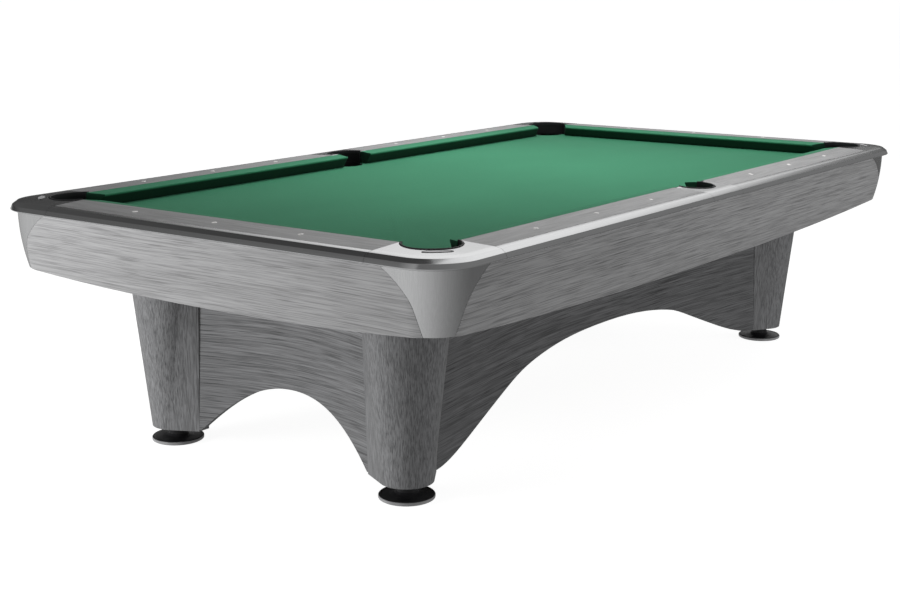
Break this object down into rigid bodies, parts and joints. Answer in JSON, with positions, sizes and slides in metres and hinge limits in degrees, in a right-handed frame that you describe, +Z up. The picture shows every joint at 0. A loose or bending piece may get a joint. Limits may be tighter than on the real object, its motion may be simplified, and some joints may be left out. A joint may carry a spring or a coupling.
{
  "type": "pool table",
  "caption": "Pocket billiard table with a green cloth bed, grey wood rails and cabinet, aluminium castings and trim, and arched bowed base panels between round tapered legs on levelling feet.",
  "frame": {"origin": "floor level, under the middle of the playing field", "axes": "+X along the table's length, +Y across it, +Z up from the floor"},
  "size_m": [2.915, 1.645, 0.745],
  "materials": {
    "slate": "honed slate, dull grey",
    "bed_cloth": "green worsted wool, fine twill",
    "cushion_cloth": "green worsted wool over rubber",
    "rail_laminate": "grey oak-grain laminate, satin",
    "casting": "satin cast aluminium",
    "edge_trim": "brushed extruded aluminium",
    "liner_rubber": "black moulded rubber, matte",
    "apron_wood": "grey wood grain running lengthwise, satin",
    "base_wood": "charcoal wood grain running lengthwise, satin",
    "leg_wood": "charcoal wood grain running upright, satin",
    "timber": "plain sawn hardwood",
    "foot_black": "black painted cast foot with a bare grey rim",
    "screw_steel": "plain steel screw",
    "plate_steel": "plain steel",
    "badge": "blank satin plate",
    "sight": "pearl white inlay"
  },
  "bodies": {
    "table": {"slate_left": "slate", "slate_centre": "slate", "slate_right": "slate", "bed_cloth": "bed_cloth", "front_left_rail": "rail_laminate", "front_left_cushion": "cushion_cloth", "front_left_corner_cap": "casting", "front_left_corner_skirt": "casting", "front_left_pocket_liner": "liner_rubber", "front_left_leg": "leg_wood", "front_right_rail": "rail_laminate", "front_right_cushion": "cushion_cloth", "front_right_corner_cap": "casting", "front_right_corner_skirt": "casting", "front_right_pocket_liner": "liner_rubber", "front_right_leg": "leg_wood", "rear_left_rail": "rail_laminate", "rear_left_cushion": "cushion_cloth", "rear_left_corner_cap": "casting", "rear_left_corner_skirt": "casting", "rear_left_pocket_liner": "liner_rubber", "rear_left_leg": "leg_wood", "rear_right_rail": "rail_laminate", "rear_right_cushion": "cushion_cloth", "rear_right_corner_cap": "casting", "rear_right_corner_skirt": "casting", "rear_right_pocket_liner": "liner_rubber", "rear_right_leg": "leg_wood", "left_end_rail": "rail_laminate", "left_end_cushion": "cushion_cloth", "left_end_apron": "apron_wood", "left_end_base_panel": "base_wood", "right_end_rail": "rail_laminate", "right_end_cushion": "cushion_cloth", "right_end_apron": "apron_wood", "right_end_base_panel": "base_wood", "front_middle_cap": "casting", "front_middle_liner": "liner_rubber", "front_apron": "apron_wood", "front_base_panel": "base_wood", "rear_middle_cap": "casting", "rear_middle_liner": "liner_rubber", "rear_apron": "apron_wood", "rear_base_panel": "base_wood", "side_trims": "edge_trim", "end_trims": "edge_trim", "badges": "badge", "sights": "sight", "subframe_timbers": "timber", "leg_posts": "timber", "foot_plates": "plate_steel", "rail_bolts": "plate_steel"},
    "front_left_pad": {"front_left_foot_pad": "foot_black"},
    "front_left_screw": {"front_left_foot_screw": "screw_steel"},
    "front_right_pad": {"front_right_foot_pad": "foot_black"},
    "front_right_screw": {"front_right_foot_screw": "screw_steel"},
    "rear_left_pad": {"rear_left_foot_pad": "foot_black"},
    "rear_left_screw": {"rear_left_foot_screw": "screw_steel"},
    "rear_right_pad": {"rear_right_foot_pad": "foot_black"},
    "rear_right_screw": {"rear_right_foot_screw": "screw_steel"}
  },
  "joints": [
    {"name": "front_left_foot_slide", "type": "slide", "parent": "table", "child": "front_left_pad", "axis": [0, 0, -1], "range_m": [0, 0.045]},
    {"name": "front_left_screw_turn", "type": "hinge", "parent": "front_left_pad", "child": "front_left_screw", "pos_m": [-1.116, -0.44, 0.08], "axis": [0, 0, -1], "range_deg": [0, 5400]},
    {"name": "front_right_foot_slide", "type": "slide", "parent": "table", "child": "front_right_pad", "axis": [0, 0, -1], "range_m": [0, 0.045]},
    {"name": "front_right_screw_turn", "type": "hinge", "parent": "front_right_pad", "child": "front_right_screw", "pos_m": [1.116, -0.44, 0.08], "axis": [0, 0, -1], "range_deg": [0, 5400]},
    {"name": "rear_left_foot_slide", "type": "slide", "parent": "table", "child": "rear_left_pad", "axis": [0, 0, -1], "range_m": [0, 0.045]},
    {"name": "rear_left_screw_turn", "type": "hinge", "parent": "rear_left_pad", "child": "rear_left_screw", "pos_m": [-1.116, 0.44, 0.08], "axis": [0, 0, -1], "range_deg": [0, 5400]},
    {"name": "rear_right_foot_slide", "type": "slide", "parent": "table", "child": "rear_right_pad", "axis": [0, 0, -1], "range_m": [0, 0.045]},
    {"name": "rear_right_screw_turn", "type": "hinge", "parent": "rear_right_pad", "child": "rear_right_screw", "pos_m": [1.116, 0.44, 0.08], "axis": [0, 0, -1], "range_deg": [0, 5400]}
  ],
  "couplings": [
    {"joint": "front_left_screw_turn", "follows": "front_left_foot_slide", "rad_per_m": 2094},
    {"joint": "front_right_screw_turn", "follows": "front_right_foot_slide", "rad_per_m": 2094},
    {"joint": "rear_left_screw_turn", "follows": "rear_left_foot_slide", "rad_per_m": 2094},
    {"joint": "rear_right_screw_turn", "follows": "rear_right_foot_slide", "rad_per_m": 2094}
  ]
}
